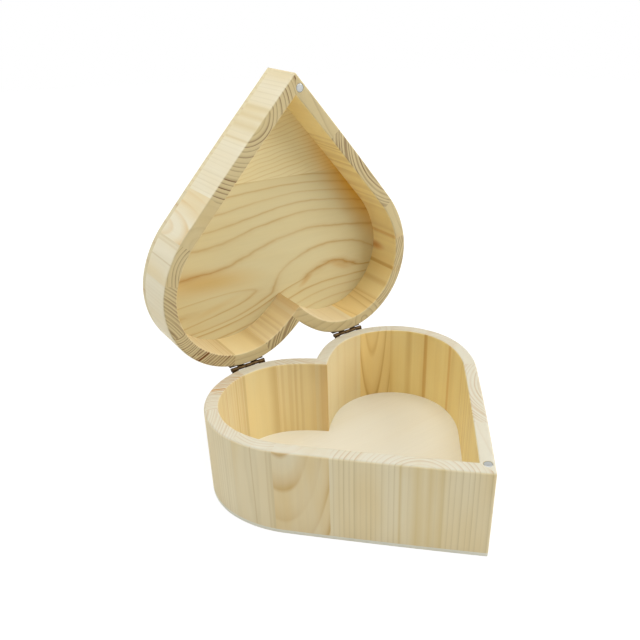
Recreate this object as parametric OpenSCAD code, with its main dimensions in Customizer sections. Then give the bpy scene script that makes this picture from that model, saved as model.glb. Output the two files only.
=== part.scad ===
// Heart-shaped pine box with a hinged lid, standing open.
// The walls are rings of glued blocks with upright grain. A thin sheet closes the
// bottom, two edge-glued boards close the lid, two butt hinges join them at the
// back of the lobes, and a pair of disc magnets holds the point shut.
// Right-hand outline: a walk from the point to the cleft that turns left all the way.
// A heading is the direction of that walk, in degrees from +X.

/* [Heart outline] */
// Half of the angle at the heart's point, in degrees
tip_half_angle = 43.4; // [42:0.1:45]
// Length of each long side, from the point to the shoulder
side_length = 114.8; // [108:0.1:124]
// Radius of the slight outward bow of each long side
side_bow_radius = 3370; // [2500:10:6000]
// Radius of the shoulder between the side and the lobe
shoulder_radius = 73; // [64:0.5:84]
// Turn of the shoulder, in degrees
shoulder_turn = 26.2; // [23:0.1:30]
// Radius of each lobe
lobe_radius = 52.8; // [50:0.1:56]
// Turn of each lobe, in degrees
lobe_turn = 139.5; // [136:0.1:144]
// Radius of the flatter curve that runs from the lobe into the cleft
cleft_radius = 106.5; // [90:0.5:130]

/* [Walls and boards] */
// Thickness of the walls of the base and the lid
wall = 8.6; // [7:0.1:10]
// Height of the base's walls
base_wall_height = 54.3; // [40:0.1:70]
// Height of the lid's walls
lid_wall_height = 26.5; // [18:0.1:40]
// Thickness of the floor sheet under the base's walls
floor_thickness = 2.5; // [2:0.1:5]
// Thickness of the boards on the lid's walls
lid_board_thickness = 4.4; // [3:0.1:7]
// Distance from the point to the glue joint between the lid's two boards
lid_board_joint = 67; // [50:0.5:90]
// Gap between the two rims when the lid is shut
rim_gap = 0.3; // [0.2:0.05:0.6]

/* [Blocks of the walls] */
// Seams between the left-hand blocks, along the outline from the shoulder's start
left_seam_places = [-26.8, 5.2, 31.2, 68.2, 88.7, 120.2, 148.2]; // [-70:0.1:150]
// Seams between the right-hand blocks, along the outline from the shoulder's start
right_seam_places = [-67.8, 3.2, 35.2, 64.7, 96.2, 125.2]; // [-70:0.1:150]
// How far the cleft block reaches along the inside of the left lobe
cleft_block_reach = 8.5; // [5:0.5:14]

/* [Hinges] */
// Length of each hinge
hinge_length = 25; // [20:0.5:30]
// Reach of each leaf from the hinge's axis
leaf_reach = 10.5; // [8:0.1:14]
// Thickness of the leaves
leaf_thickness = 0.6; // [0.5:0.05:0.9]
// Outer radius of the knuckles
barrel_radius = 1.25; // [1.15:0.05:1.6]
// Radius of the pin
pin_radius = 0.65; // [0.5:0.05:0.75]
// Radial clearance of the pin in the lid's knuckles
pin_clearance = 0.05; // [0.02:0.01:0.1]
// Number of knuckles in each hinge; the base carries the first and the last
knuckle_count = 5; // [3:2:7]
// Gap between neighbouring knuckles
knuckle_side_gap = 0.2; // [0.15:0.05:0.4]
// Gap between the knuckles and the wood or leaf behind them
knuckle_back_gap = 0.3; // [0.25:0.05:0.5]
// Depth of the flat sanded on each lobe for a hinge
seat_depth = 0.4; // [0.2:0.05:0.8]
// Angle to which the lid stands open
lid_open_angle = 87; // [0:1:175]

/* [Screws and magnets] */
// Distance between the two screws in a leaf
screw_spacing = 14; // [10:0.5:16]
// Distance from the hinge's axis to the screws
screw_offset = 6.2; // [4:0.1:8]
// Radius of the screws' shanks
screw_radius = 0.8; // [0.6:0.05:1]
// Radius of the screws' flat heads
screw_head_radius = 1.5; // [1.3:0.05:1.8]
// Length of the shank below the leaf, without its point
screw_length = 4.5; // [3:0.1:5.5]
// Length of the screw's point
screw_point = 1; // [0.5:0.1:1.5]
// Width of the slot in the screw's head
screw_slot = 0.4; // [0.3:0.05:0.5]
// Radius of the disc magnets
magnet_radius = 2.5; // [2:0.1:3]
// Thickness of the disc magnets
magnet_thickness = 2.5; // [1:0.1:4]
// Distance from the point to the centres of the magnets, measured along the middle plane
magnet_inset = 8.6; // [7.5:0.1:9.5]
// Wood between a magnet in the right-hand block and the seam at the point
magnet_seam_gap = 0.2; // [0.1:0.05:0.4]

/* [Hidden] */
// Largest distance between a curve of the outline and the flats that follow it
curve_error = 0.02;
// How far a cutter runs past the face that it opens
overcut = 1;
$fn = 48;

// Arcs of the outline in walking order: side, shoulder, lobe, cleft
radii = [side_bow_radius, shoulder_radius, lobe_radius, cleft_radius];
side_turn = side_length / side_bow_radius * 180 / PI;
side_heading = 90 - tip_half_angle;
shoulder_heading = side_heading + side_turn;
lobe_heading = shoulder_heading + shoulder_turn;
cleft_heading = lobe_heading + lobe_turn;
headings = [side_heading, shoulder_heading, lobe_heading, cleft_heading];
shoulder_start = side_length;
lobe_start = shoulder_start + shoulder_radius * shoulder_turn * PI / 180;
cleft_start = lobe_start + lobe_radius * lobe_turn * PI / 180;
arc_starts = [0, shoulder_start, lobe_start, cleft_start];
last_arc = len(radii) - 1;
whole_walk = 360;

// Unit vector from the outline towards the inside of the box
function inward(heading) = [-sin(heading), cos(heading)];
function arc_centre(i) = i == 0
    ? radii[0] * inward(headings[0])
    : arc_centre(i - 1) - (radii[i - 1] - radii[i]) * inward(headings[i]);
centres = [for (i = [0:last_arc]) arc_centre(i)];

// Headings at which the outline, moved inward by inset, leaves and meets the middle plane
function first_heading(inset) = asin(-centres[0].x / (radii[0] - inset));
function last_heading(inset) = 180 + asin(centres[last_arc].x / (radii[last_arc] - inset));
function start_heading(i, inset) = i == 0 ? first_heading(inset) : headings[i];
function end_heading(i, inset) = i == last_arc ? last_heading(inset) : headings[i + 1];

// Arc on which a heading lies, and the heading at a distance along the outline
function arc_of(heading) = len([for (h = headings) if (heading >= h) h]) - 1;
function arc_at(distance) = len([for (s = arc_starts) if (distance >= s) s]) - 1;
function heading_at(distance) = headings[arc_at(distance)]
    + (distance - arc_starts[arc_at(distance)]) / radii[arc_at(distance)] * 180 / PI;

function point_at(i, heading, inset) = centres[i] - (radii[i] - inset) * inward(heading);
function facet_turn(radius) = 2 * acos(1 - curve_error / radius);
// Points of the outline between two headings, moved inward by inset
function run(from, to, inset) = concat(
    [for (i = [0:last_arc])
        let (a = max(from, start_heading(i, inset)),
             b = min(to, end_heading(i, inset)),
             steps = ceil((b - a) / facet_turn(radii[i] - inset)))
        if (b > a)
            for (j = [0:steps - 1]) point_at(i, a + (b - a) * j / steps, inset)],
    [let (end = min(to, last_heading(inset))) point_at(arc_of(end), end, inset)]);

function reversed(points) = [for (i = [len(points) - 1:-1:0]) points[i]];
function mirrored(points) = [for (p = points) [-p.x, p.y]];
function without_ends(points) = [for (i = [1:len(points) - 2]) points[i]];
function without_first(points) = [for (i = [1:len(points) - 1]) points[i]];

heart_length = centres[2].y + lobe_radius;
rim_height = floor_thickness + base_wall_height;

// Heading at which each block starts; the first ones start at the point
function seams(places) = concat([0], [for (place = places) heading_at(shoulder_start + place)]);
left_seams = seams(left_seam_places);
right_seams = seams(right_seam_places);
// The cleft block crosses the middle plane and ends on the inside of the left lobe
cleft_seam = last_heading(wall) - cleft_block_reach / (cleft_radius - wall) * 180 / PI;

function left_block_outline(i) =
    let (from = left_seams[i],
         last = i == len(left_seam_places),
         outer = run(from, last ? whole_walk : left_seams[i + 1], 0),
         inner = run(from, last ? cleft_seam : left_seams[i + 1], wall))
    mirrored(concat(outer, reversed(inner)));
function right_block_outline(i) =
    let (from = right_seams[i],
         last = i == len(right_seam_places),
         to = last ? whole_walk : right_seams[i + 1],
         inner = reversed(run(from, to, wall)),
         across = mirrored(run(cleft_seam, whole_walk, wall)))
    concat(run(from, to, 0), last ? concat(across, without_first(inner)) : inner);
heart_half = run(0, whole_walk, 0);
heart_outline = concat(heart_half, without_ends(mirrored(reversed(heart_half))));

// Hinge: the axis lies behind the lobes and halfway up the gap between the rims
hinge_x = centres[2].x;
barrel_back = barrel_radius + knuckle_back_gap;
axis_y = heart_length - seat_depth + barrel_back;
axis_z = rim_height + rim_gap / 2;
knuckle_length = (hinge_length + knuckle_side_gap) / knuckle_count - knuckle_side_gap;
seat_half_turn = asin(hinge_length / 2 / lobe_radius);

// The magnets sit beside the seam at the point, in the first right-hand blocks
magnet_x = magnet_radius + magnet_seam_gap;

// Nodes
left_count = len(left_seams);
right_count = len(right_seams);
function block_names(part, side, count) = [for (i = [1:count]) str(part, "_block_", side, "_", i)];

// Places: the origin is under the middle of the base
module placed() {
    translate([0, -heart_length / 2, 0]) children();
}

module opened() {
    placed() translate([0, axis_y, axis_z]) rotate([-lid_open_angle, 0, 0])
        translate([0, -axis_y, -axis_z]) children();
}

module at_hinge(side) {
    translate([side * hinge_x, axis_y, axis_z]) children();
}

// Hinge hardware, drawn about its own axis with the wood towards -Y and the leaf downwards
module screw_shape() {
    rotate([90, 0, 0]) {
        cylinder(h = leaf_thickness, r1 = screw_head_radius, r2 = screw_radius);
        translate([0, 0, leaf_thickness]) cylinder(h = screw_length, r = screw_radius);
        translate([0, 0, leaf_thickness + screw_length])
            cylinder(h = screw_point, r1 = screw_radius, r2 = 0);
    }
}

module screw_places() {
    for (x = [-screw_spacing / 2, screw_spacing / 2])
        translate([x, leaf_thickness - barrel_back, -screw_offset]) children();
}

module screws() {
    screw_places() difference() {
        screw_shape();
        cube([4 * screw_head_radius, leaf_thickness, screw_slot], center = true);
    }
}

module knuckle(i) {
    along = -hinge_length / 2 + i * (knuckle_length + knuckle_side_gap);
    translate([along, 0, 0]) {
        rotate([0, 90, 0]) cylinder(h = knuckle_length, r = barrel_radius);
        translate([0, -barrel_back, -barrel_back])
            cube([knuckle_length, leaf_thickness, barrel_back - rim_gap / 2]);
    }
}

module leaf(first_knuckle, bore_radius) {
    difference() {
        union() {
            translate([-hinge_length / 2, -barrel_back, -leaf_reach])
                cube([hinge_length, leaf_thickness, leaf_reach - barrel_back]);
            for (i = [first_knuckle:2:knuckle_count - 1]) knuckle(i);
        }
        translate([-hinge_length / 2 - overcut, 0, 0]) rotate([0, 90, 0])
            cylinder(h = hinge_length + 2 * overcut, r = bore_radius);
        screw_places() screw_shape();
    }
}

module pin() {
    translate([-hinge_length / 2, 0, 0]) rotate([0, 90, 0])
        cylinder(h = hinge_length, r = pin_radius);
}

// Flat and pilot holes that a hinge needs in the wood below its axis
module hinge_cutter() {
    translate([-hinge_length / 2, -barrel_back, -leaf_reach - overcut])
        cube([hinge_length, seat_depth + overcut, leaf_reach + overcut]);
    screw_places() screw_shape();
}

// Wooden pieces
module wall_block(outline, height) {
    linear_extrude(height) polygon(outline);
}

module base_block(side, outline, from, to) {
    placed() difference() {
        translate([0, 0, floor_thickness]) wall_block(outline, base_wall_height);
        if (from == 0 && side > 0)
            translate([magnet_x, magnet_inset, rim_height - magnet_thickness])
                cylinder(h = magnet_thickness + overcut, r = magnet_radius);
        if (to > 180 - seat_half_turn && from < 180 + seat_half_turn)
            at_hinge(side) hinge_cutter();
    }
}

module lid_block(side, outline, from, to) {
    opened() difference() {
        translate([0, 0, rim_height + rim_gap]) wall_block(outline, lid_wall_height);
        if (from == 0 && side > 0)
            translate([magnet_x, magnet_inset, rim_height + rim_gap - overcut])
                cylinder(h = magnet_thickness + overcut, r = magnet_radius);
        if (to > 180 - seat_half_turn && from < 180 + seat_half_turn)
            at_hinge(side) mirror([0, 0, 1]) hinge_cutter();
    }
}

function seam_after(list, i) = i < len(list) - 1 ? list[i + 1] : whole_walk;

module base_block_left(i) {
    color("#E9D9B4") base_block(-1, left_block_outline(i), left_seams[i], seam_after(left_seams, i));
}

module base_block_right(i) {
    color("#E2C98F") base_block(1, right_block_outline(i), right_seams[i], seam_after(right_seams, i));
}

module lid_block_left(i) {
    color("#EBDDB8") lid_block(-1, left_block_outline(i), left_seams[i], seam_after(left_seams, i));
}

module lid_block_right(i) {
    color("#DDC38A") lid_block(1, right_block_outline(i), right_seams[i], seam_after(right_seams, i));
}

module base_floor() {
    color("#E6DCC0") placed() linear_extrude(floor_thickness) polygon(heart_outline);
}

module lid_board(from_y, to_y) {
    opened() translate([0, 0, rim_height + rim_gap + lid_wall_height])
        linear_extrude(lid_board_thickness) intersection() {
            polygon(heart_outline);
            translate([-heart_length, from_y]) square([2 * heart_length, to_y - from_y]);
        }
}

module lid_front_board() {
    color("#DCC58E") lid_board(-overcut, lid_board_joint);
}

module lid_rear_board() {
    color("#D9BF85") lid_board(lid_board_joint, heart_length + overcut);
}

// Magnets
module magnet() {
    color("#B9BDC2") cylinder(h = magnet_thickness, r = magnet_radius);
}

module base_magnet() {
    placed() translate([magnet_x, magnet_inset, rim_height - magnet_thickness]) magnet();
}

module lid_magnet() {
    opened() translate([magnet_x, magnet_inset, rim_height + rim_gap]) magnet();
}

// Hinges
module hinge_base_leaf(side) {
    color("#4A3B2A") placed() at_hinge(side) leaf(0, pin_radius);
}

module hinge_lid_leaf(side) {
    color("#4A3B2A") opened() at_hinge(side) mirror([0, 0, 1]) leaf(1, pin_radius + pin_clearance);
}

module hinge_pin(side) {
    color("#3A2F24") placed() at_hinge(side) pin();
}

module base_hinge_screws() {
    color("#4A3B2A") placed() for (side = [-1, 1]) at_hinge(side) screws();
}

module lid_hinge_screws() {
    color("#4A3B2A") opened() for (side = [-1, 1]) at_hinge(side) mirror([0, 0, 1]) screws();
}

for (i = [0:left_count - 1]) {
    base_block_left(i);
    lid_block_left(i);
}
for (i = [0:right_count - 1]) {
    base_block_right(i);
    lid_block_right(i);
}
base_floor();
base_magnet();
lid_front_board();
lid_rear_board();
lid_magnet();
hinge_base_leaf(-1);  // left_hinge_base_leaf
hinge_lid_leaf(-1);  // left_hinge_lid_leaf
hinge_pin(-1);  // left_hinge_pin
hinge_base_leaf(1);  // right_hinge_base_leaf
hinge_lid_leaf(1);  // right_hinge_lid_leaf
hinge_pin(1);  // right_hinge_pin
base_hinge_screws();
lid_hinge_screws();
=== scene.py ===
# %% [markdown]
# # A heart-shaped pine box with its lid open
# The real box is made from upright-grained pine blocks glued into a ring and sanded,
# with a thin sheet for a floor and two glued boards for the lid. Everything here is
# built around a fixed CAD frame, in metres, so each wooden piece can be swept exactly
# where its CAD solid stands and then softened as sandpaper would soften it.

# %% Load the frame
import math

import bmesh
import bpy
from mathutils import Matrix, Vector


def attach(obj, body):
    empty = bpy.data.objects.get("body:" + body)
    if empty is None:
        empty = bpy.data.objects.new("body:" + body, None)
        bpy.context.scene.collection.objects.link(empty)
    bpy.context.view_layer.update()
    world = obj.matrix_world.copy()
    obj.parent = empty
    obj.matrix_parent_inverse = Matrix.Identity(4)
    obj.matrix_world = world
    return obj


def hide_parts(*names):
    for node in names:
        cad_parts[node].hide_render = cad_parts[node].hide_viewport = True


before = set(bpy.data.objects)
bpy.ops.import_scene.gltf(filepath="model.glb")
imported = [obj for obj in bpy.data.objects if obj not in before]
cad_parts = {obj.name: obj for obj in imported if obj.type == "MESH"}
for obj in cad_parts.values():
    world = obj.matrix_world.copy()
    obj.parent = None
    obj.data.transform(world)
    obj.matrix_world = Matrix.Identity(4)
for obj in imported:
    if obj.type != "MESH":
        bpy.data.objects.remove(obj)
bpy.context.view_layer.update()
MM = 0.001

# %% [markdown]
# ## The camera
# A camera is a place, a direction and a lens. Naming the point it looks at and the
# angles it looks from keeps it easy to change, and a small shift slides the picture
# on the sensor without bending the perspective.

# %% Camera
camera_target = Vector((0.301, 21.505, 91.903)) * MM
camera_azimuth = math.radians(-38.514)
camera_height = math.radians(26.153)
camera_distance = 387.29 * MM
camera_back = Vector((math.sin(camera_azimuth) * math.cos(camera_height),
                      -math.cos(camera_azimuth) * math.cos(camera_height),
                      math.sin(camera_height)))
camera_data = bpy.data.cameras.new("camera")
camera_data.lens = 35.68
camera_data.shift_x = -0.0653
camera_data.shift_y = 0.0263
camera = bpy.data.objects.new("camera", camera_data)
camera.location = camera_target + camera_back * camera_distance
camera.rotation_euler = camera_back.to_track_quat("Z", "Y").to_euler()
bpy.context.collection.objects.link(camera)
bpy.context.scene.camera = camera
bpy.context.scene.view_settings.view_transform = "Standard"
print("camera at", tuple(round(c, 4) for c in camera.location))

# %% [markdown]
# ## Colours and nodes
# Colours are chosen as sRGB hex, the way a paint chart gives them, and shaders work in
# linear light, so one function turns the one into the other. Nodes could be placed by
# hand in the editor, but thirty blocks need thirty finishes, so one more function adds
# a node with its settings and links, and the materials below are written with it.

# %% Helpers for materials
def linear(colour):
    """An sRGB hex colour, or a plain grey number, as the linear colour that a socket takes."""
    if isinstance(colour, (int, float)):
        return (colour, colour, colour, 1.0)
    channels = [int(colour[i:i + 2], 16) / 255 for i in (1, 3, 5)]
    return tuple(c / 12.92 if c <= 0.04045 else ((c + 0.055) / 1.055) ** 2.4
                 for c in channels) + (1.0,)


def blank(owner):
    """The emptied node tree of a material or a world."""
    owner.use_nodes = True
    owner.node_tree.nodes.clear()
    return owner.node_tree


def add(tree, kind, inputs=(), operation=None, stops=(), **settings):
    """Adds a shader node. Its inputs are listed in order or by name or number, and each is a
    value, a hex colour, a socket, or another node, whose first output in use is meant."""
    node = tree.nodes.new("ShaderNode" + kind)
    if operation:
        node.operation = operation
    for name, value in settings.items():
        setattr(node, name, value)
    for key, value in inputs.items() if isinstance(inputs, dict) else enumerate(inputs):
        if isinstance(value, bpy.types.Node):
            value = next(output for output in value.outputs if output.enabled)
        if isinstance(value, bpy.types.NodeSocket):
            tree.links.new(value, node.inputs[key])
        else:
            node.inputs[key].default_value = linear(value) if isinstance(value, str) else value
    if stops:
        marks = node.color_ramp.elements
        marks.remove(marks[1])
        marks[0].position, marks[0].color = stops[0][0], linear(stops[0][1])
        for place, colour in stops[1:]:
            marks.new(place).color = linear(colour)
    return node


print("pine cream in linear light", [round(c, 3) for c in linear("#E9DDBB")])

# %% [markdown]
# ## Table, backdrop and light
# The box stands on a plain pale table, as for a catalogue picture. One small lamp would
# throw hard shadows and a bright sky would flatten the grain, so five large square lamps
# share the work: one overhead, the strongest in front on the right, and weak ones on the
# left and behind, which keep the far sides from going dark. Rays from the camera, and
# those that metal reflects, see white where there is no box. Close to the box the table
# shows a quarter of its own shading, so that the shadow stays, and further out none. The
# lamps stay at a level where a colour renders about as it is written.

# %% Rays that see the backdrop
def sees_backdrop(tree):
    """1 for rays from the camera or by way of a mirror or glass, and 0 for the others."""
    rays = add(tree, "LightPath").outputs
    seen = add(tree, "Math", [rays["Is Camera Ray"], rays["Is Glossy Ray"]], "MAXIMUM")
    return add(tree, "Math", [seen, rays["Is Transmission Ray"]], "MAXIMUM")


# %% Table
shadow_edge, all_white = 0.15, 0.6
table_mesh = bpy.data.meshes.new("table")
table_shape = bmesh.new()
bmesh.ops.create_grid(table_shape, x_segments=2, y_segments=2, size=3)
table_shape.to_mesh(table_mesh)
table_shape.free()
table = bpy.data.objects.new("table", table_mesh)
table.location = (0, 0, -0.02 * MM)
bpy.context.collection.objects.link(table)
table_paint = bpy.data.materials.new("pale_studio_table")
tree = blank(table_paint)
matt = add(tree, "BsdfDiffuse", {"Color": "#F2F1EE"})
glow = add(tree, "Emission", {"Color": "#FFFFFF", "Strength": 1.15})
spot = add(tree, "TexCoord").outputs["Object"]
far = add(tree, "VectorMath", [spot], "LENGTH")
far = add(tree, "MapRange", [far, shadow_edge, all_white, 0.75, 1.0])
share = add(tree, "Math", [sees_backdrop(tree), far], "MULTIPLY")
both = add(tree, "MixShader", [share, matt, glow])
add(tree, "OutputMaterial", {"Surface": both})
table_mesh.materials.append(table_paint)
print("table, white from", all_white, "m outward")

# %% World
world = bpy.data.worlds.new("studio")
bpy.context.scene.world = world
tree = blank(world)
room = add(tree, "Background", {"Color": "#FFFFFF", "Strength": 0.25})
white = add(tree, "Background", {"Color": "#FFFFFF", "Strength": 1.0})
either = add(tree, "MixShader", [sees_backdrop(tree), room, white])
add(tree, "OutputWorld", {"Surface": either})
print("world", world.name)

# %% Lamps
for name, place, aim_height, watts in (
        ("overhead", (0, 0, 1.25), 0.08, 7.5), ("front_right", (0.75, -0.85, 0.7), 0.08, 9.4),
        ("back_left", (-0.8, 0.55, 0.85), 0.08, 2.4), ("left", (-1.0, -0.1, 0.75), 0.08, 1.65),
        ("behind", (0.15, 1.2, 0.3), 0.12, 1.6)):
    lamp_data = bpy.data.lights.new(name, "AREA")
    lamp_data.shape = "SQUARE"
    lamp_data.size = 0.9
    lamp_data.energy = watts
    lamp = bpy.data.objects.new(name, lamp_data)
    lamp.location = place
    direction = Vector(place) - Vector((0, 0, aim_height))
    lamp.rotation_euler = direction.to_track_quat("Z", "Y").to_euler()
    bpy.context.collection.objects.link(lamp)
    print("lamp", name, watts, "W")

# %% [markdown]
# ## The heart outline
# Half of the heart is a chain of four arcs that touch smoothly: a nearly straight side,
# a shoulder, a round lobe and a flatter curve into the cleft. A freehand curve would look
# much the same, but arcs have centres that a sweep can turn about, and the wall's inner
# side is the same chain, moved inward by the wall's thickness. A heading is the
# direction, in degrees, of a walk that starts at the heart's point.

# %% Outline
side_radius, side_length = 3370.0, 114.8
shoulder_radius, shoulder_turn = 73.0, 26.2
lobe_radius, lobe_turn = 52.8, 139.5
cleft_radius = 106.5
wall = 8.6
point_half_angle = 43.4
side_heading = 90 - point_half_angle
radii = [side_radius, shoulder_radius, lobe_radius, cleft_radius]
headings = [side_heading]
headings.append(headings[0] + math.degrees(side_length / side_radius))
headings.append(headings[1] + shoulder_turn)
headings.append(headings[2] + lobe_turn)
lobe_start = side_length + shoulder_radius * math.radians(shoulder_turn)
starts = [0, side_length, lobe_start, lobe_start + lobe_radius * math.radians(lobe_turn)]


def inward(heading):
    """The direction into the heart, square to the walk."""
    return Vector((-math.sin(math.radians(heading)), math.cos(math.radians(heading)), 0))


centres = [side_radius * inward(side_heading)]
for i in (1, 2, 3):
    centres.append(centres[-1] - (radii[i - 1] - radii[i]) * inward(headings[i]))
heart_length = centres[2].y + lobe_radius
to_origin = Matrix.Translation((0, -heart_length / 2, 0))


def heading_at(distance):
    """The walk's heading after so many millimetres from the point."""
    arc = sum(distance >= start for start in starts) - 1
    return headings[arc] + math.degrees((distance - starts[arc]) / radii[arc])


def point_at(heading, inset=0.0):
    """Where the walk has this heading, moved inward by inset."""
    arc = max(0, sum(heading >= h for h in headings) - 1)
    return centres[arc] - (radii[arc] - inset) * inward(heading)


def middle_heading(inset):
    """Heading at which the cleft curve, moved inward, meets the middle plane."""
    return 180 + math.degrees(math.asin(centres[3].x / (cleft_radius - inset)))


print("heart", round(heart_length, 2), "mm long; lobe centre", centres[2].xy)

# %% [markdown]
# ## The wall, block by block
# The real ring is glued from short blocks with the grain upright, so the rim shows end
# grain and each block has its own rings. A heart could be extruded whole and cut up, but
# here each block is one cross-section of the wall, turned about the centre of each arc
# in turn with spin, the way a lathe would cut it. Rounding the section's corners first
# gives every rim its sanded edge. Lines along the section beside the rounding keep the
# flat faces flat when they are shaded. Seams are millimetres from the point.

# %% Heights and seams
floor_sheet, base_wall, rim_gap, lid_wall, lid_board = 2.5, 54.3, 0.3, 26.5, 4.4
rim = floor_sheet + base_wall
seams = {"left": [88.0, 120.0, 146.0, 183.0, 203.5, 235.0, 263.0],
         "right": [47.0, 118.0, 150.0, 179.5, 211.0, 240.0]}
arc_steps = [14.0, 1.6, 1.6, 1.2]
outer_rounding, inner_rounding, flat_margin, point_radius = 1.3, 0.9, 0.5, 0.8
before_the_middle, past_the_middle, point_lines, point_reach = 0.3, 4.0, 5, 30
print("base", rim, "mm high, shut box", rim + rim_gap + lid_wall + lid_board, "mm")


# %% Helpers for shapes
def whole(shape):
    """Every point, edge and face of a shape."""
    return shape.verts[:] + shape.edges[:] + shape.faces[:]


def move(shape, by):
    """Moves a shape."""
    bmesh.ops.translate(shape, vec=by, verts=shape.verts)


def stretch(shape, by):
    """Makes a shape so many times as large along X, Y and Z."""
    bmesh.ops.scale(shape, vec=by, verts=shape.verts)


def outward(shape):
    """Turns all faces of a shape outward."""
    bmesh.ops.recalc_face_normals(shape, faces=shape.faces)


def rounded(shape, parts, size, segments, affect="EDGES"):
    """Rounds edges, or corners of a flat shape, over the given size."""
    bmesh.ops.bevel(shape, geom=parts, offset=size, segments=segments, profile=0.5,
                    affect=affect, material=-1)


# %% Section of the wall
def wall_section(shape, low, high, rim_up):
    """One rounded cross-section: its X is the depth into the wall, its Z the height."""
    inside = shape.verts.layers.float.new("inside")
    bmesh.ops.create_grid(shape, x_segments=1, y_segments=1, size=0.5)
    stretch(shape, (wall, high - low, 1))
    bmesh.ops.rotate(shape, matrix=Matrix.Rotation(math.pi / 2, 3, "X"), verts=shape.verts)
    move(shape, (wall / 2, 0, (low + high) / 2))
    rim_height = high if rim_up else low
    corners = [v for v in shape.verts if abs(v.co.z - rim_height) < 0.01]
    outer = [v for v in corners if v.co.x < 1]
    inner = [v for v in corners if v.co.x > 1]
    for verts, size in ((outer, outer_rounding), (inner, inner_rounding)):
        rounded(shape, verts, size, 4, "VERTICES")
    beside = outer_rounding + flat_margin
    down = -beside if rim_up else beside
    for place, normal in (((0, 0, rim_height + down), (0, 0, 1)), ((beside, 0, 0), (1, 0, 0)),
                          ((wall - inner_rounding - flat_margin, 0, 0), (1, 0, 0))):
        bmesh.ops.bisect_plane(shape, geom=whole(shape), plane_co=place, plane_no=normal)
    for vert in shape.verts:
        vert[inside] = vert.co.x / wall


# %% Sweep
def follow_arcs(shape, geometry, start, end):
    """Spins geometry about the centre of each arc in turn, between two headings."""
    for i, centre in enumerate(centres):
        first = start if i == 0 else max(start, headings[i])
        last = end if i == 3 else min(end, headings[i + 1])
        if last > first:
            turn = math.radians(last - first)
            swept = bmesh.ops.spin(shape, geom=geometry, cent=centre, axis=(0, 0, 1), angle=turn,
                                   steps=math.ceil(turn * radii[i] / arc_steps[i]),
                                   use_merge=False, use_duplicate=False)
            geometry = swept["geom_last"]


def sweep(shape, start, end):
    """Turns the section that is there along the outline between two headings."""
    turn = Matrix.Rotation(math.radians(start + 90), 4, "Z")
    place = Matrix.Translation(point_at(start)) @ turn
    bmesh.ops.transform(shape, matrix=place, verts=shape.verts)
    follow_arcs(shape, whole(shape), start, end)


# %% A length of the wall
def cut(shape, place, normal, close=True):
    """Cuts away what lies on the side that normal points to, and closes the cut."""
    done = bmesh.ops.bisect_plane(shape, geom=whole(shape), plane_co=place, plane_no=normal,
                                  clear_outer=True)
    edges = [e for e in done["geom_cut"] if isinstance(e, bmesh.types.BMEdge)]
    if close:
        bmesh.ops.holes_fill(shape, edges=edges, sides=0)


def wall_strip(low, high, rim_up, start, end, side):
    """A length of the wall, on the left or the right side of the heart."""
    shape = bmesh.new()
    wall_section(shape, low, high, rim_up)
    sweep(shape, start, end)
    if side == "left":
        stretch(shape, (-1, 1, 1))
    outward(shape)
    return shape


# %% [markdown]
# ## Cuts, sanded flats and holes
# The seam at the point is a mitre on the middle plane. At the cleft one block turns the
# corner and ends a little way along the inside of the left lobe, so it is swept as two
# strips that are welded where they meet. The point is rounded by sanding, and a flat is
# sanded behind each lobe for a hinge's leaf. Both are shallow, so lines are cut into the
# mesh and the points outside them are pushed back. A drilled hole is deep and round, so
# there a turned cutter is taken out with a Boolean modifier.

# %% Hinges, magnets and the cleft's seam
hinge_x, hinge_length = centres[2].x, 25.0
leaf_reach, leaf_thickness, barrel_radius, knuckle_gap = 10.5, 0.6, 1.25, 0.3
seat_y, seat_reach, seat_step = heart_length - 0.4, leaf_reach + 1, 0.03
hinge_axis = Vector((0, seat_y + barrel_radius + knuckle_gap, rim + rim_gap / 2))
magnet_radius, magnet_depth, magnet_place = 2.5, 2.5, (2.7, 8.6)
cleft_seam_reach, wedge_lead = 8.5, 6
cleft_inside = middle_heading(wall) - math.degrees(cleft_seam_reach / (cleft_radius - wall))
cleft_seam_inside = Vector((-point_at(cleft_inside, wall).x, point_at(cleft_inside, wall).y, 0))
cleft_outside = point_at(middle_heading(0))
cleft_seam_outside = Vector((-0.25, cleft_outside.y + 0.2, 0))
seam_line = cleft_seam_outside - cleft_seam_inside
to_the_left = Vector((-seam_line.y, seam_line.x, 0)).normalized()
print("hinge axis", [round(c, 2) for c in hinge_axis], "mm")


# %% Sand the point
def soften_point(shape, side):
    """Rounds the upright edge at the heart's point, as sanding does."""
    half = math.radians(point_half_angle)
    centre_y = point_radius / math.sin(half)
    widest = point_radius * math.cos(half)
    for k in range(1, point_lines + 1):
        x = (widest if side == "right" else -widest) * k / point_lines
        near = [f for f in shape.faces if min(v.co.y for v in f.verts) < point_reach]
        geometry = near + list(dict.fromkeys(part for f in near for part in (*f.edges, *f.verts)))
        bmesh.ops.bisect_plane(shape, geom=geometry, plane_co=(x, 0, 0), plane_no=(1, 0, 0))
    for vert in shape.verts:
        if abs(vert.co.x) <= widest + 1e-6:
            edge_y = centre_y - math.sqrt(point_radius ** 2 - vert.co.x ** 2)
            vert.co.y = max(vert.co.y, edge_y)


# %% Sand the hinge seats
def sand_seat(shape, rim_up):
    """Sands the flat for a hinge's leaf where a lobe is furthest back."""
    edge = hinge_axis.z - seat_reach if rim_up else hinge_axis.z + seat_reach
    if max(v.co.y for v in shape.verts) <= seat_y:
        return
    for place, normal in (((0, 0, edge - seat_step), (0, 0, 1)),
                          ((0, 0, edge + seat_step), (0, 0, 1)), ((0, seat_y, 0), (0, 1, 0))):
        bmesh.ops.bisect_plane(shape, geom=whole(shape), plane_co=place, plane_no=normal)
    for vert in shape.verts:
        if vert.co.y > seat_y and abs(vert.co.z - hinge_axis.z) < seat_reach:
            vert.co.y = seat_y


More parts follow.
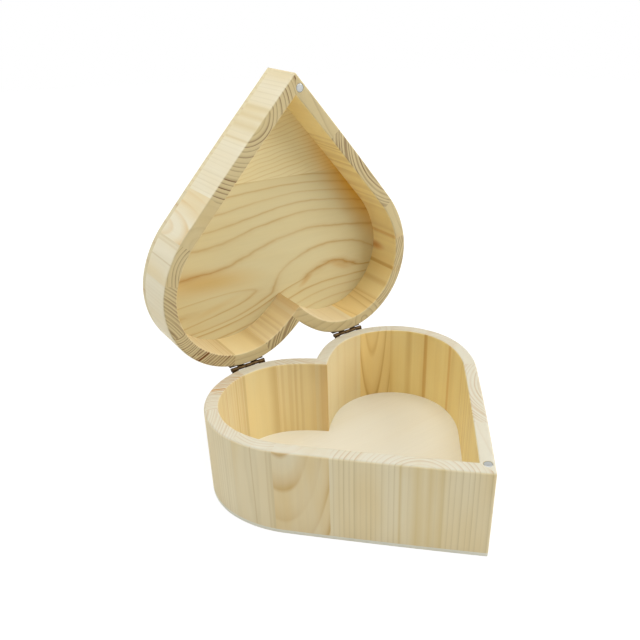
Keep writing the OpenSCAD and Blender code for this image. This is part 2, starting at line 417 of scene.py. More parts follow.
# %% Turn on a lathe
def lathe(profile, steps=48):
    """Turns a line of (radius, height) points once round the Z axis."""
    shape = bmesh.new()
    points = [shape.verts.new((radius, 0, height)) for radius, height in profile]
    line = [shape.edges.new(pair) for pair in zip(points, points[1:])]
    bmesh.ops.spin(shape, geom=points + line, cent=(0, 0, 0), axis=(0, 0, 1),
                   angle=2 * math.pi, steps=steps, use_merge=True, use_duplicate=False)
    bmesh.ops.remove_doubles(shape, verts=shape.verts, dist=0.001)
    outward(shape)
    return shape


# %% Carve and join
def carved(shape, cutter):
    """The shape with the cutter taken out of it; both are used up."""
    objects = []
    for name, part in (("block", shape), ("cutter", cutter)):
        mesh = bpy.data.meshes.new(name)
        part.to_mesh(mesh)
        part.free()
        objects.append(bpy.data.objects.new(name, mesh))
        bpy.context.collection.objects.link(objects[-1])
    carve = objects[0].modifiers.new("carve", "BOOLEAN")
    carve.operation, carve.solver, carve.object = "DIFFERENCE", "EXACT", objects[1]
    left = bmesh.new()
    left.from_object(objects[0], bpy.context.evaluated_depsgraph_get())
    for spent in objects:
        bpy.data.meshes.remove(spent.data)
    return left


def join(shape, other):
    """Adds the other shape's parts to the first and uses it up."""
    mesh = bpy.data.meshes.new("joined")
    other.to_mesh(mesh)
    other.free()
    shape.from_mesh(mesh)
    bpy.data.meshes.remove(mesh)


# %% Magnet holes
def at_magnet(shape, rim_up):
    """Puts what is drawn below height 0 into a rim, upside down in the lid."""
    if not rim_up:
        stretch(shape, (1, 1, -1))
        outward(shape)
    move(shape, (*magnet_place, rim if rim_up else rim + rim_gap))
    return shape


def magnet_hole(rim_up):
    """What the drill takes out of a rim, with a slightly rubbed edge."""
    rubbed, radius = 0.12, magnet_radius + 0.1
    return at_magnet(lathe([(0, -magnet_depth), (radius, -magnet_depth), (radius, -rubbed),
                            (radius + 2 * rubbed, rubbed), (radius + 2 * rubbed, 1), (0, 1)]),
                     rim_up)


# %% One block
def block(side, number, low, high, rim_up):
    """The numbered block of one side, counted from the point."""
    places = seams[side]
    last = number == len(places) + 1
    start = heading_at(places[number - 2]) if number > 1 else side_heading - before_the_middle
    end = middle_heading(wall) + past_the_middle if last else heading_at(places[number - 1])
    shape = wall_strip(low, high, rim_up, start, end, side)
    sign = 1 if side == "right" else -1
    if number == 1:
        cut(shape, (0, 0, 0), (-sign, 0, 0))
        soften_point(shape, side)
    if last and side == "left":
        cut(shape, cleft_seam_outside, -to_the_left)
    if last and side == "right":
        cut(shape, (0, 0, 0), (-1, 0, 0), close=False)
        wedge = wall_strip(low, high, rim_up, cleft_inside - wedge_lead, end, "left")
        cut(wedge, (0, 0, 0), (1, 0, 0), close=False)
        cut(wedge, cleft_seam_outside, to_the_left)
        join(shape, wedge)
        bmesh.ops.remove_doubles(shape, verts=shape.verts, dist=0.01)
    sand_seat(shape, rim_up)
    outward(shape)
    if number == 1 and side == "right":
        shape = carved(shape, magnet_hole(rim_up))
        # The Boolean leaves stray depths round the hole, so all depths are measured again.
        inside = shape.verts.layers.float["inside"]
        for vert in shape.verts:
            vert[inside] = (side_radius - (vert.co.xy - centres[0].xy).length) / wall
    return shape


# %% [markdown]
# ## From a shape to a piece
# A finished piece could be moved to its place as an object, but an export bakes meshes
# at the origin, so each piece stays there and its mesh holds its place. The lid is drawn
# shut, where it is easy to think about, and its points are turned open about the hinges.

# %% Finish a piece
open_angle = math.radians(87)
opened = (Matrix.Translation(hinge_axis) @ Matrix.Rotation(-open_angle, 4, "X")
          @ Matrix.Translation(-hinge_axis))
shrink = Matrix.Scale(MM, 4)
crisp_edge = math.radians(32)


def piece(shape, name, body, node, finish=None):
    """Makes a shape a finished piece of a body, in the place of its CAD node."""
    placed = shrink @ to_origin @ (opened if body == "lid" else Matrix.Identity(4))
    bmesh.ops.transform(shape, matrix=placed, verts=shape.verts)
    mesh = bpy.data.meshes.new(name)
    shape.to_mesh(mesh)
    shape.free()
    mesh.shade_smooth()
    mesh.set_sharp_from_angle(angle=crisp_edge)
    made = bpy.data.objects.new(name, mesh)
    bpy.context.collection.objects.link(made)
    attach(made, body)
    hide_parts(node)
    if finish:
        mesh.materials.append(finish)
    return made


# %% [markdown]
# ## Pine
# Sanded, unfinished pine is pale cream with a narrow darker line where each year's growth
# slowed. In the log those lines are cylinders round the heartwood, so one cylinder field
# per block gives arcs on the end grain and upright stripes on the faces, all from the same
# rings. A flat picture of wood wrapped round a block would run the same stripes over its
# rim. The lid was sawn off the same ring of blocks, so its wood reads the same field
# through a mapping that swings it shut.

# %% Wood coordinates
open_back = Matrix.Rotation(open_angle, 3, "X")
hinge_place = hinge_axis + Vector((0, -heart_length / 2, 0))
closing_shift = hinge_place - open_back @ hinge_place
lid_up = Matrix.Rotation(-open_angle, 3, "X") @ Vector((0, 0, 1))
print("the lid's upward side faces", [round(c, 3) for c in lid_up])


def wood_start(name, body, origin=(0, 0, 0)):
    """Starts a material. Its wood coordinates are millimetres from origin, with the lid shut."""
    paint = bpy.data.materials.new(name)
    tree = blank(paint)
    place = add(tree, "TexCoord")
    shift, turn = Vector((0, heart_length / 2, 0)) - Vector(origin), (0, 0, 0)
    if body == "lid":
        shift, turn = shift + closing_shift, (open_angle, 0, 0)
    wood = add(tree, "Mapping", {0: place.outputs["Object"], "Location": shift,
               "Rotation": turn, "Scale": (1 / MM,) * 3})
    return paint, tree, place, wood


# %% Drifts, spots and glazes
seed_steps = (7.3, 3.1, 5.7)
glaze = {"data_type": "RGBA", "blend_type": "MULTIPLY"}


def drift(tree, wood, per_mm, seed=0.0, detail=2.0):
    """A value that drifts smoothly over the wood, per_mm times a millimetre each way."""
    stretched = add(tree, "Mapping", {0: wood, "Scale": per_mm,
                    "Location": [seed * step for step in seed_steps]})
    return add(tree, "TexNoise", {"Vector": stretched, "Scale": 1.0, "Detail": detail})


def soft_spot(tree, wood, middle, size, strength, turn=0):
    """The strength in the middle of an oval spot, fading to nothing at its edge."""
    spot = add(tree, "Mapping", {0: wood, "Location": middle, "Scale": size,
               "Rotation": (0, 0, math.radians(turn))}, vector_type="TEXTURE")
    reach = add(tree, "VectorMath", [spot], "LENGTH")
    return add(tree, "MapRange", [reach, 0, 1, strength, 0], interpolation_type="SMOOTHSTEP")


# %% Late wood
patch_from, patch_to, strongest = 0.35, 0.65, 1.25


def late_wood(tree, wood, years, look):
    """How far each point is into the dark end of its year; years counts the rings."""
    ring = add(tree, "Math", [years], "FRACT")
    late = add(tree, "ValToRGB", [ring], stops=look["profile"])
    year = add(tree, "Math", [years], "FLOOR")
    chance = add(tree, "TexWhiteNoise", {"W": year}, noise_dimensions="1D")
    share = add(tree, "Math", [chance, look["uneven"], 1 - look["uneven"]], "MULTIPLY_ADD")
    late = add(tree, "Math", [late, share], "MULTIPLY")
    patch = drift(tree, wood, look["patch"], look["seed"])
    fade = add(tree, "MapRange", [patch, patch_from, patch_to, look["fade"], strongest])
    return add(tree, "Math", [late, fade], "MULTIPLY")


# %% Sanded finish
line_depth, relief, relief_strength = 0.6, 0.03 * MM, 0.4
dry_roughness, line_shine, wood_ior, wood_gloss = 0.64, 0.08, 1.45, 0.3


def sanded_finish(paint, tree, wood, colour, late, look):
    """Adds the fibres that sanding leaves, a faint relief and the dry sheen of bare pine."""
    fibre = drift(tree, wood, look["fibre"], detail=4.0)
    streak = drift(tree, wood, look["streak"], look["seed"] + 0.5)
    fine = add(tree, "Math", [fibre, streak], "ADD")
    rough_cut = look["rough_cut"]
    fine = add(tree, "Math", [fine, rough_cut, 1 - rough_cut], "MULTIPLY_ADD")
    colour = add(tree, "Mix", {0: 1.0, 6: colour, 7: fine}, **glaze)
    height = add(tree, "Math", [late, -line_depth, fibre.outputs[0]], "MULTIPLY_ADD")
    bump = add(tree, "Bump", {"Height": height, "Strength": relief_strength, "Distance": relief})
    rough = add(tree, "Math", [late, -line_shine, dry_roughness], "MULTIPLY_ADD")
    shader = add(tree, "BsdfPrincipled", {"Base Color": colour, "Roughness": rough,
                 "Normal": bump, "IOR": wood_ior, "Specular IOR Level": wood_gloss})
    add(tree, "OutputMaterial", {"Surface": shader})
    return paint


# %% [markdown]
# ## The finish of a block
# Three tones change from face to face: the outside is pale, the inside is warmer, and the
# end grain is greyer with darker lines, most of all in the lid. The warmer inside and the
# lid's paler outside are partly painted light, the glow that bounces between the walls and
# the brighter light on the lid. The sweep left a number on every point, 0 outside and 1
# inside, and the face's direction tells the end grain.
# Rings alone don't give all that pine shows, so golden patches, knots and bands lie over
# them. A band is a soft upright stripe with its place across the block's inner side.

# %% Tones and years
# The warmer inner tones and the lid's paler outer tones are partly painted light.
tones = {"base": {"outer": ("#E9DDBB", "#C2AF7C"), "inner": ("#F6E6B8", "#C2964C"),
                  "end": ("#DCD7C4", "#CAB492")},
         "lid": {"outer": ("#F1E8CC", "#DCCFA9"), "inner": ("#FAEAC0", "#BD924E"),
                 "end": ("#CFBE91", "#704C28")}}
year_profile = [(0.0, 0.0), (0.5, 0.04), (0.76, 0.35), (0.88, 1.0), (0.98, 0.1), (1.0, 0.0)]
tight_profile = [(0.0, 0.0), (0.35, 0.05), (0.55, 0.8), (0.85, 1.0), (1.0, 0.0)]
print("tones for", " and ".join(tones))


# %% Rings of a block
def block_years(tree, wood, look):
    """Counts the rings outward from the heart of the log, which leans a little in the wall."""
    bend = drift(tree, wood, (0.03, 0.03, 0.008), look["seed"] + 0.2)
    wobble = (look["wobble"], look["wobble"], 0)
    moved = add(tree, "VectorMath", [bend.outputs["Color"], wobble, wood], "MULTIPLY_ADD")
    turned = add(tree, "Mapping", {0: moved, "Rotation": (-look["lean"][1],
                 look["lean"][0], 0)})
    flat = add(tree, "VectorMath", [turned, (1, 1, 0)], "MULTIPLY")
    reach = add(tree, "VectorMath", [flat], "LENGTH")
    years = add(tree, "Math", [reach, 1 / look["spacing"], look["phase"]], "MULTIPLY_ADD")
    slow = add(tree, "Math", [years, 0.6], "MULTIPLY")
    uneven = add(tree, "TexNoise", {"W": slow, "Scale": 1.0, "Detail": 1.0}, noise_dimensions="1D")
    years = add(tree, "Math", [uneven, look["drift"], years], "MULTIPLY_ADD")
    return years, moved


# %% Pine of a block
end_from, end_to, end_fading = 0.5, 0.9, 0.7


def block_pine(name, body, look, start, width, heading):
    """Pine with its grain upright; start, width and heading say where the block stands."""
    middle = Vector((*look["centre"], rim)) + Vector((look["wobble"] / 2, look["wobble"] / 2, 0))
    paint, tree, place, wood = wood_start(name, body, middle)
    years, moved = block_years(tree, wood, look)
    late = late_wood(tree, wood, years, look)
    up = add(tree, "VectorMath", [place.outputs["Normal"],
             lid_up if body == "lid" else (0, 0, 1)], "DOT_PRODUCT")
    end = add(tree, "Math", [up], "ABSOLUTE")
    end = add(tree, "ValToRGB", [end], stops=[(end_from, 0.0), (end_to, 1.0)])
    depth = add(tree, "Attribute", attribute_name="inside").outputs["Fac"]
    shades = []
    for outer, inner, cut_end in zip(*(tones[body][face] for face in ("outer", "inner", "end"))):
        side = add(tree, "Mix", {0: depth, 6: outer, 7: inner}, data_type="RGBA")
        shades.append(add(tree, "Mix", {0: end, 6: side, 7: cut_end}, data_type="RGBA"))
    ground, line = shades
    patch = drift(tree, wood, look["patch"], look["seed"] + 0.9)
    warm = add(tree, "ValToRGB", [patch], stops=[(0.35, 0.0), (0.75, look["warmth"])])
    on_end = add(tree, "Math", [end, -end_fading, 1.0], "MULTIPLY_ADD")
    warm = add(tree, "Math", [warm, on_end], "MULTIPLY")
    ground = add(tree, "Mix", {0: warm, 6: ground, 7: look["warm"]}, **glaze)
    strength = add(tree, "Mix", {0: end, 2: look["side"], 3: look["end"]})
    inner_face = add(tree, "Math", [end, -1.0, 1.0], "MULTIPLY_ADD")
    inner_face = add(tree, "Math", [inner_face, depth], "MULTIPLY")
    ground = add(tree, "Mix", {0: inner_face, 6: ground, 7: look["tint"]}, **glaze)
    for darkness, brown, knot_middle, size in look["knots"]:
        knot = soft_spot(tree, wood, knot_middle - middle, size, darkness)
        ground = add(tree, "Mix", {0: knot, 6: ground, 7: brown}, **glaze)
    line = add(tree, "Mix", {0: 1.0, 6: line, 7: look["ink"]}, **glaze)
    amount = add(tree, "Math", [late, strength], "MULTIPLY", use_clamp=True)
    colour = add(tree, "Mix", {0: amount, 6: ground, 7: line}, data_type="RGBA")
    if look["bands"]:
        across = add(tree, "Mapping", {0: moved, "Location": start - middle,
                     "Rotation": (0, 0, heading), "Scale": (width, 1, 1)}, vector_type="TEXTURE")
        across = add(tree, "SeparateXYZ", [across])
        band = add(tree, "ValToRGB", [across], stops=look["bands"])
        on_face = add(tree, "MapRange", {0: depth, 3: look["band_out"], 4: look["band_in"]})
        band = add(tree, "Math", [band, on_end], "MULTIPLY")
        band = add(tree, "Math", [band, on_face], "MULTIPLY")
        colour = add(tree, "Mix", {0: band, 6: colour, 7: look["band"]}, data_type="RGBA")
    return sanded_finish(paint, tree, wood, colour, late, look)


# %% [markdown]
# ## Each block's look
# Each block has its own place in the log. The table says where its rings are centred, in
# millimetres from the heart's point, how far apart they are, how they lean and wobble, and
# how strongly they show on the side and on the end. Ink tints their lines, warm and warmth
# the golden patches, and tint the inner face. Bands run from 0 to 1 across the block, and
# each is as strong outside and inside as band_out and band_in say. Thirty finishes made by
# hand would drift apart, and one table keeps them alike in make and different in figure.

# %% Looks of the blocks
plain = {"spacing": 4.0, "side": 0.3, "end": 0.45, "lean": (0, 0), "wobble": 3.0, "phase": 0.0,
         "drift": 1.0, "profile": year_profile, "uneven": 0.5, "patch": (0.05, 0.05, 0.012),
         "fibre": (3.2, 3.2, 0.09), "streak": (0.55, 0.55, 0.012), "rough_cut": 0.05,
         "warm": "#F5E3B4", "warmth": 0.3, "tint": "#FFFFFF", "ink": "#FFFFFF", "fade": 0.6,
         "bands": (), "band": "#D9A95C", "band_out": 0.12, "band_in": 1.0, "knots": ()}
knot_place = point_at(heading_at(164.2), wall) + Vector((0, 0, 81))
looks = {"left": [
    {"centre": (-33.3, 21.0), "spacing": 2.8, "side": 0.55, "end": 1.1, "wobble": 2.0,
     "uneven": 0.7, "band": "#D3B768", "band_out": 1.0, "band_in": 0.3, "warmth": 0.5,
     "bands": [(0.28, 0.0), (0.31, 0.35), (0.35, 0.05), (0.38, 0.35), (0.41, 0.05), (0.46, 0.45),
               (0.5, 0.1), (0.55, 0.0), (0.565, 0.35), (0.58, 0.0)]},
    {"centre": (-68.5, 93.0), "spacing": 6.2, "side": 0.55, "end": 0.12, "lean": (0.224, 0.2),
     "fade": 0.3, "phase": 0.62, "drift": 0.4, "ink": "#FFDC8A", "warmth": 0.6,
     "warm": "#F4DA96",
     "profile": [(0.0, 0.0), (0.35, 0.03), (0.62, 0.4), (0.85, 1.0), (0.96, 0.1), (1.0, 0.0)]},
    {"centre": (-61.2, 114.0), "spacing": 2.4, "side": 0.4, "end": 1.2,
     "bands": [(0.0, 0.35), (0.03, 0.1), (0.09, 0.35), (0.12, 0.0), (0.47, 0.0), (0.5, 0.5),
               (0.53, 0.0)], "band": "#C9B27C", "band_out": 1.0, "band_in": 0.3, "warmth": 0.45},
    {"centre": (-159, 189), "spacing": 1.9, "side": 0.3, "end": 0.8, "wobble": 1.5,
     "profile": tight_profile, "tint": "#F4F2EE"},
    {"centre": (-88.5, 142), "spacing": 1.7, "side": 0.3, "end": 1.45,
     "bands": [(0.0, 0.5), (0.05, 0.0), (0.1, 0.5), (0.14, 0.0), (0.2, 0.4), (0.24, 0.0)],
     "band": "#B08D55", "tint": "#F2F0EC"},
    {"centre": (-106, 90), "spacing": 1.9, "side": 0.25, "end": 1.05, "wobble": 1.5,
     "ink": "#FFDCA4", "profile": tight_profile, "tint": "#F0EFEC",
     "bands": [(0.7, 0.0), (0.72, 0.3), (0.75, 0.0), (0.82, 0.0), (0.84, 0.2), (0.87, 0.05),
               (0.93, 0.1), (0.97, 0.3), (1.0, 0.35)], "band": "#BE9E54"},
    {"centre": (-40, 60), "spacing": 6.0, "side": 0.35, "end": 0.2, "tint": "#F6F2E4",
     "bands": [(0.0, 0.2), (0.05, 0.0), (0.75, 0.0), (0.97, 0.3), (1.0, 0.2)], "band": "#C09A54"},
    {"centre": (40, 191), "spacing": 2.5, "side": 0.3, "end": 1.0, "wobble": 1.5,
     "profile": tight_profile, "tint": "#F6F2E8"}],
    "right": [
    {"centre": (120, -40), "spacing": 7.0, "side": 0.2, "end": 0.25, "tint": "#FFFCE6"},
    {"centre": (92, 38), "spacing": 2.4, "side": 0.4, "end": 0.95, "wobble": 2.0,
     "profile": tight_profile, "tint": "#FFFCE6"},
    {"centre": (160, 60), "spacing": 6.0, "side": 0.25, "end": 0.2,
     "bands": [(0.92, 0.0), (0.97, 0.2), (1.0, 0.5)], "band": "#D0984A", "tint": "#FFFCE6"},
    {"centre": (8, 104), "spacing": 2.1, "side": 0.12, "end": 0.7,
     "knots": [(0.8, "#D29A70", knot_place, (5, 5, 14))],
     "bands": [(0.0, 0.6), (0.05, 0.25), (0.12, 0.05), (0.3, 0.0), (0.94, 0.05), (0.97, 0.4),
               (1.0, 0.6)], "band": "#C28F3C", "profile": tight_profile, "tint": "#FFFAE0"},
    {"centre": (53, 136), "spacing": 2.1, "side": 0.2, "end": 0.6,
     "bands": [(0.0, 0.5), (0.03, 0.1), (0.35, 0.05), (0.45, 0.35), (0.53, 0.25), (0.6, 0.05),
               (0.9, 0.1), (1.0, 0.35)], "band": "#C4933F", "profile": tight_profile,
     "tint": "#FFFAE0"},
    {"centre": (58.4, 175.8), "spacing": 5.3, "side": 0.65, "end": 0.5, "lean": (0.038, 0.114),
     "wobble": 1.5, "phase": 0.06, "drift": 0.4, "tint": "#F6EACA"},
    {"centre": (0, 90), "spacing": 6.0, "side": 0.2, "end": 0.3,
     "bands": [(0.0, 0.0), (0.86, 0.0), (0.875, 0.6), (0.93, 0.35), (0.95, 0.1), (1.0, 0.2)],
     "band": "#D9AE62", "tint": "#F0F0F2"}]}
pines = {}
for side, blocks in looks.items():
    mirror = Vector((1, 1, 0)) if side == "right" else Vector((-1, 1, 0))
    edges = [point_at(heading_at(place), wall) * mirror for place in (0.0, *seams[side])]
    edges.append(cleft_seam_inside)
    for number, look in enumerate(blocks, 1):
        look = {**plain, "seed": number + (20 if side == "right" else 0), **look}
        first, along = edges[number - 1] + Vector((0, 0, rim)), edges[number] - edges[number - 1]
        for body in ("base", "lid"):
            pines[f"{body}_{side}_{number}"] = block_pine(
                f"sanded_pine_{body}_{side}_{number}", body, look, first,
                along.xy.length, math.atan2(along.y, along.x))
print(len(pines), "pine finishes")

# %% [markdown]
# ## Boards
# The lid's two boards and the thin floor share one recipe: half of the outline is a single
# point spun along the arcs, mirrored, filled and given its thickness. A traced curve could
# be extruded instead, but this edge runs along the very arcs of the wall. Sanding rounds
# the outer edges, so the rim is bevelled, and a narrow inset keeps the face beside it flat.

# %% Heart plate
def heart_plate(low, high):
    """A heart of the outline's size, between two heights, with its point rounded."""
    shape = bmesh.new()
    follow_arcs(shape, [shape.verts.new(point_at(side_heading))], side_heading,
                middle_heading(0))
    bmesh.ops.mirror(shape, geom=shape.verts[:] + shape.edges[:], axis="X", merge_dist=0.001)
    bmesh.ops.remove_doubles(shape, verts=shape.verts, dist=0.01)
    bmesh.ops.contextual_create(shape, geom=shape.edges[:])
    move(shape, (0, 0, low))
    raised = bmesh.ops.extrude_face_region(shape, geom=shape.faces[:])
    top = [v for v in raised["geom"] if isinstance(v, bmesh.types.BMVert)]
    bmesh.ops.translate(shape, vec=(0, 0, high - low), verts=top)
    outward(shape)
    point = [e for e in shape.edges if all(v.co.xy.length < 0.1 for v in e.verts)]
    rounded(shape, point, point_radius / math.tan(math.radians(point_half_angle)), 3)
    return shape


# %% Rim of a plate
def soften_rim(shape, height, size, segments=4):
    """Rounds the edges at one height and holds the flat face flat."""
    edges = [e for e in shape.edges if all(abs(v.co.z - height) < 0.01 for v in e.verts)
             and e.calc_face_angle(0) > 1 and min(f.normal.z ** 2 for f in e.link_faces) < 0.5
             and not all(abs(v.co.y - board_joint) < 0.01 for v in e.verts)]
    rounded(shape, edges, size, segments)
    flat = [f for f in shape.faces if len(f.verts) > 20
            and abs(f.calc_center_median().z - height) < 0.01]
    bmesh.ops.inset_region(shape, faces=flat, thickness=0.15, use_even_offset=True)


# %% Two boards and a floor
board_joint, board_rounding, sheet_rounding = 67.0, 0.6, 0.5
shell_low = rim + rim_gap + lid_wall
boards = {}
for name, keep in (("front", 1), ("rear", -1)):
    shape = heart_plate(shell_low, shell_low + lid_board)
    cut(shape, (0, board_joint, 0), (0, keep, 0))
    soften_rim(shape, shell_low + lid_board, board_rounding)
    boards[name] = piece(shape, f"lid_{name}_pine_board", "lid", f"lid_{name}_board")
shape = heart_plate(0, floor_sheet)
soften_rim(shape, 0, sheet_rounding, 2)
floor = piece(shape, "floor_sheet", "base", "base_floor")
print("two lid boards and the floor sheet")

# %% [markdown]
# ## The wood of the boards
# A board is sawn along the log, so its face shows the rings as long lines: fine and
# straight in the front board, wide and bent in the rear one, where the saw ran across two
# swellings of the trunk. Cylinders would need a whole bent log for that, so here one
# function per board counts the rings as heights on a map, whose contour lines are the
# grain. Years of handling leave yellow and brown stains inside the lid, each a soft oval
# spot. One golden-brown oval along the right edge is painted shade instead, warmed as if by
# light that the wall beside it throws back. The ground colour inside is darkened with the
# painted shade of the lid's hollow, and the side that faces out is mixed back to paler.

# %% Board finish
# The pale that the outward face is mixed toward, out of the painted shade held in the ground
# colour.
unshaded_pale, stain_and_shade_fading = "#FFF9EC", 0.9


def board_pine(name, look, figure):
    """Pine with its grain across the heart; figure counts its rings."""
    paint, tree, place, wood = wood_start(name, look["body"])
    flat = add(tree, "VectorMath", [wood, (1, 1, 0)], "MULTIPLY")
    years = figure(tree, flat)
    late = late_wood(tree, wood, years, look)
    amount = add(tree, "Math", [late, look["side"]], "MULTIPLY", use_clamp=True)
    patch = drift(tree, wood, look["patch"], look["seed"] + 0.9)
    warm = add(tree, "ValToRGB", [patch], stops=[(0.35, 0.0), (0.75, look["warmth"])])
    ground = add(tree, "Mix", {0: warm, 6: look["ground"], 7: look["warm"]}, **glaze)
    colour = add(tree, "Mix", {0: amount, 6: ground, 7: look["line"]}, data_type="RGBA")
    facing = add(tree, "VectorMath", [place.outputs["Normal"],
                 lid_up if look["body"] == "lid" else (0, 0, 1)], "DOT_PRODUCT")
    facing = add(tree, "MapRange", [facing, -0.5, 0.5])
    # The face turned out of the lid is mixed toward pale, since the ground colour holds painted
    # shade.
    unshaded_lift = add(tree, "Math", [facing, look["unshaded_lift"]], "MULTIPLY")
    colour = add(tree, "Mix", {0: unshaded_lift, 6: colour, 7: unshaded_pale}, data_type="RGBA")
    # Stains and the painted shade along the right edge show only on the inside face.
    hidden = add(tree, "Math", [facing, -stain_and_shade_fading, 1.0], "MULTIPLY_ADD")
    for darkness, stain_and_shade_colour, middle, turn, size in look["stains_and_shade"]:
        stain_and_shade = soft_spot(tree, flat, middle, size, darkness, turn)
        stain_and_shade = add(tree, "Math", [stain_and_shade, hidden], "MULTIPLY")
        colour = add(tree, "Mix", {0: stain_and_shade, 6: colour, 7: stain_and_shade_colour}, **glaze)
    return sanded_finish(paint, tree, wood, colour, late, look)


# %% Rings of the front board
fine_spacing, fine_slope, fine_bend = 2.6, 0.16, 3.0
print("fine rings", fine_spacing, "mm apart")


def front_figure(tree, flat):
    """Fine straight rings that slope a little across the point's board."""
    bend = drift(tree, flat, (0.02, 0.03, 0.03), 4.0)
    across = add(tree, "VectorMath",
                 [flat, (fine_slope / fine_spacing, 1 / fine_spacing, 0)], "DOT_PRODUCT")
    return add(tree, "Math", [bend, fine_bend, across], "MULTIPLY_ADD")


# %% Rings of the rear board
low_edge, high_edge, first_ring, ring_count = 60, 190, -7, 14
ring_heights = [(60, -6.5), (66, -5.7), (71, -5), (78, -4), (86, -3), (95, -2), (103.5, -1),
                (118, 0), (121.5, 0.25), (140, 0.45), (149, 0.75), (151.5, 1), (154.5, 2),
                (162, 3), (168.5, 4), (175, 5), (182, 6), (190, 7)]
tilt_start, tilt_end, first_tilt, last_tilt, tilt_width = 56, 156, -9.12, 13.68, 60
hollow_place, hollow_size, hollow_depth = (24, 108, 0), (80, 85, 1), 11.5
swellings = (((48, 150, 0), 4.0, (52, 30, 1), 7 / 3), ((-84, 150.5, 0), -6.5, (66, 8, 1), 1.95))
blending, ripple_share, bend_share, ring_shift = 0.35, 0.14, 0.25, 0.305
print(len(ring_heights), "rings up the rear board")


def rear_figure(tree, flat):
    """Wide rings at ring_heights up the board's middle, bent round two oval swellings."""
    parts = add(tree, "SeparateXYZ", [flat])
    bent = add(tree, "Math", [parts.outputs[0], 1 / tilt_width], "MULTIPLY")
    bent = add(tree, "Math", [bent], "TANH")
    rise = add(tree, "MapRange", [parts.outputs[1], tilt_start, tilt_end, first_tilt, last_tilt])
    height = add(tree, "Math", [bent, rise, parts.outputs[1]], "MULTIPLY_ADD")
    hollow = soft_spot(tree, flat, hollow_place, hollow_size, hollow_depth)
    height = add(tree, "Math", [height, hollow], "ADD")
    height = add(tree, "MapRange", [height, low_edge, high_edge, 0, 1])
    rings = add(tree, "ValToRGB", [height],
                stops=[((h - low_edge) / (high_edge - low_edge), (ring - first_ring) / ring_count)
                       for h, ring in ring_heights])
    rings = add(tree, "Math", [rings, ring_count, first_ring], "MULTIPLY_ADD")
    for middle, turn, size, most in swellings:
        oval = add(tree, "Mapping", {0: flat, "Location": middle,
                   "Rotation": (0, 0, math.radians(turn)), "Scale": size}, vector_type="TEXTURE")
        oval = add(tree, "VectorMath", [oval, oval], "DOT_PRODUCT")
        oval = add(tree, "Math", [oval, 1 - most, most], "MULTIPLY_ADD")
        rings = add(tree, "Math", [rings, oval, blending], "SMOOTH_MAX")
    bend = drift(tree, flat, (0.03, 0.08, 0.03), 6.0)
    ripple = drift(tree, flat, (0.1, 0.25, 0.1), 8.0, 3.0)
    rings = add(tree, "Math", [ripple, ripple_share, rings], "MULTIPLY_ADD")
    rings = add(tree, "Math", [rings, ring_shift], "ADD")
    return add(tree, "Math", [bend, bend_share, rings], "MULTIPLY_ADD")


# %% Looks of the boards and the floor
board_profile = [(0.0, 0.0), (0.3, 0.04), (0.42, 0.28), (0.47, 0.65), (0.5, 1.0), (0.53, 0.7),
                 (0.6, 0.28), (0.75, 0.05), (1.0, 0.0)]
# The board's ground colour is darkened with painted shade of the lid's hollow.
board = {**plain, "profile": board_profile, "patch": (0.012, 0.05, 0.05),
         "fibre": (0.09, 3.2, 3.2), "streak": (0.012, 0.5, 0.5), "body": "lid", "seed": 41,
         "ground": "#E5D8A9", "line": "#B8893A", "side": 0.4, "warm": "#F7E8C4", "stains_and_shade": (),
         "unshaded_lift": 0.3}
# Painted shade, warmed like bounced light, along the panel's right edge beside the lid's wall.
edge_painted_shade = (0.9, "#F0BC20", (62, 78, 0), 52.3, (95, 22, 1))
front_look = {**board, "side": 0.5, "stains_and_shade": [edge_painted_shade]}
# The rear board's ground is darker still: painted shade of the lid's hollow.
rear_look = {**board, "seed": 43, "side": 0.72, "uneven": 0.35, "ground": "#DDD1A5", "stains_and_shade": [
    edge_painted_shade, (0.65, "#F3D08C", (-55, 128, 0), 6, (54, 13, 1)),
    (0.22, "#F0C878", (-50, 148, 0), -14, (30, 4, 1)),
    (0.45, "#EBBC74", (23, 145, 0), -35, (10, 3.5, 1)),
    (0.4, "#EEC680", (54, 139.5, 0), 25, (16, 4.5, 1))]}
floor_look = {**board, "body": "base", "ground": "#E6E6D8", "line": "#DED5BA", "side": 0.2,
              "seed": 47, "warm": "#F7EEDC"}
for made, name, look, figure in (
        (boards["front"], "sanded_pine_front_board", front_look, front_figure),
        (boards["rear"], "sanded_pine_rear_board", rear_look, rear_figure),
        (floor, "smooth_basswood_sheet", floor_look, front_figure)):
    made.data.materials.append(board_pine(name, look, figure))
    print("finish", name)

# %% All the wall blocks
for body, low, high in (("base", floor_sheet, rim), ("lid", rim + rim_gap, shell_low)):
    for side, places in seams.items():
        for number in range(1, len(places) + 2):
            piece(block(side, number, low, high, body == "base"),
                  f"{body}_pine_block_{side}_{number}", body, f"{body}_block_{side}_{number}",
                  finish=pines[f"{body}_{side}_{number}"])
        print(body, side, len(places) + 1, "blocks")

# %% [markdown]
# ## Metal
# The hinges are pressed steel with an antique bronze plating, nearly black, with brassy
# patches that are partly rubbed high spots and partly painted highlight, and the magnets are
# nickel plated, which is grey and a little milky. A mirror-smooth metal would look like glass
# on something this small, so a fine mottle varies both the colour and the roughness.

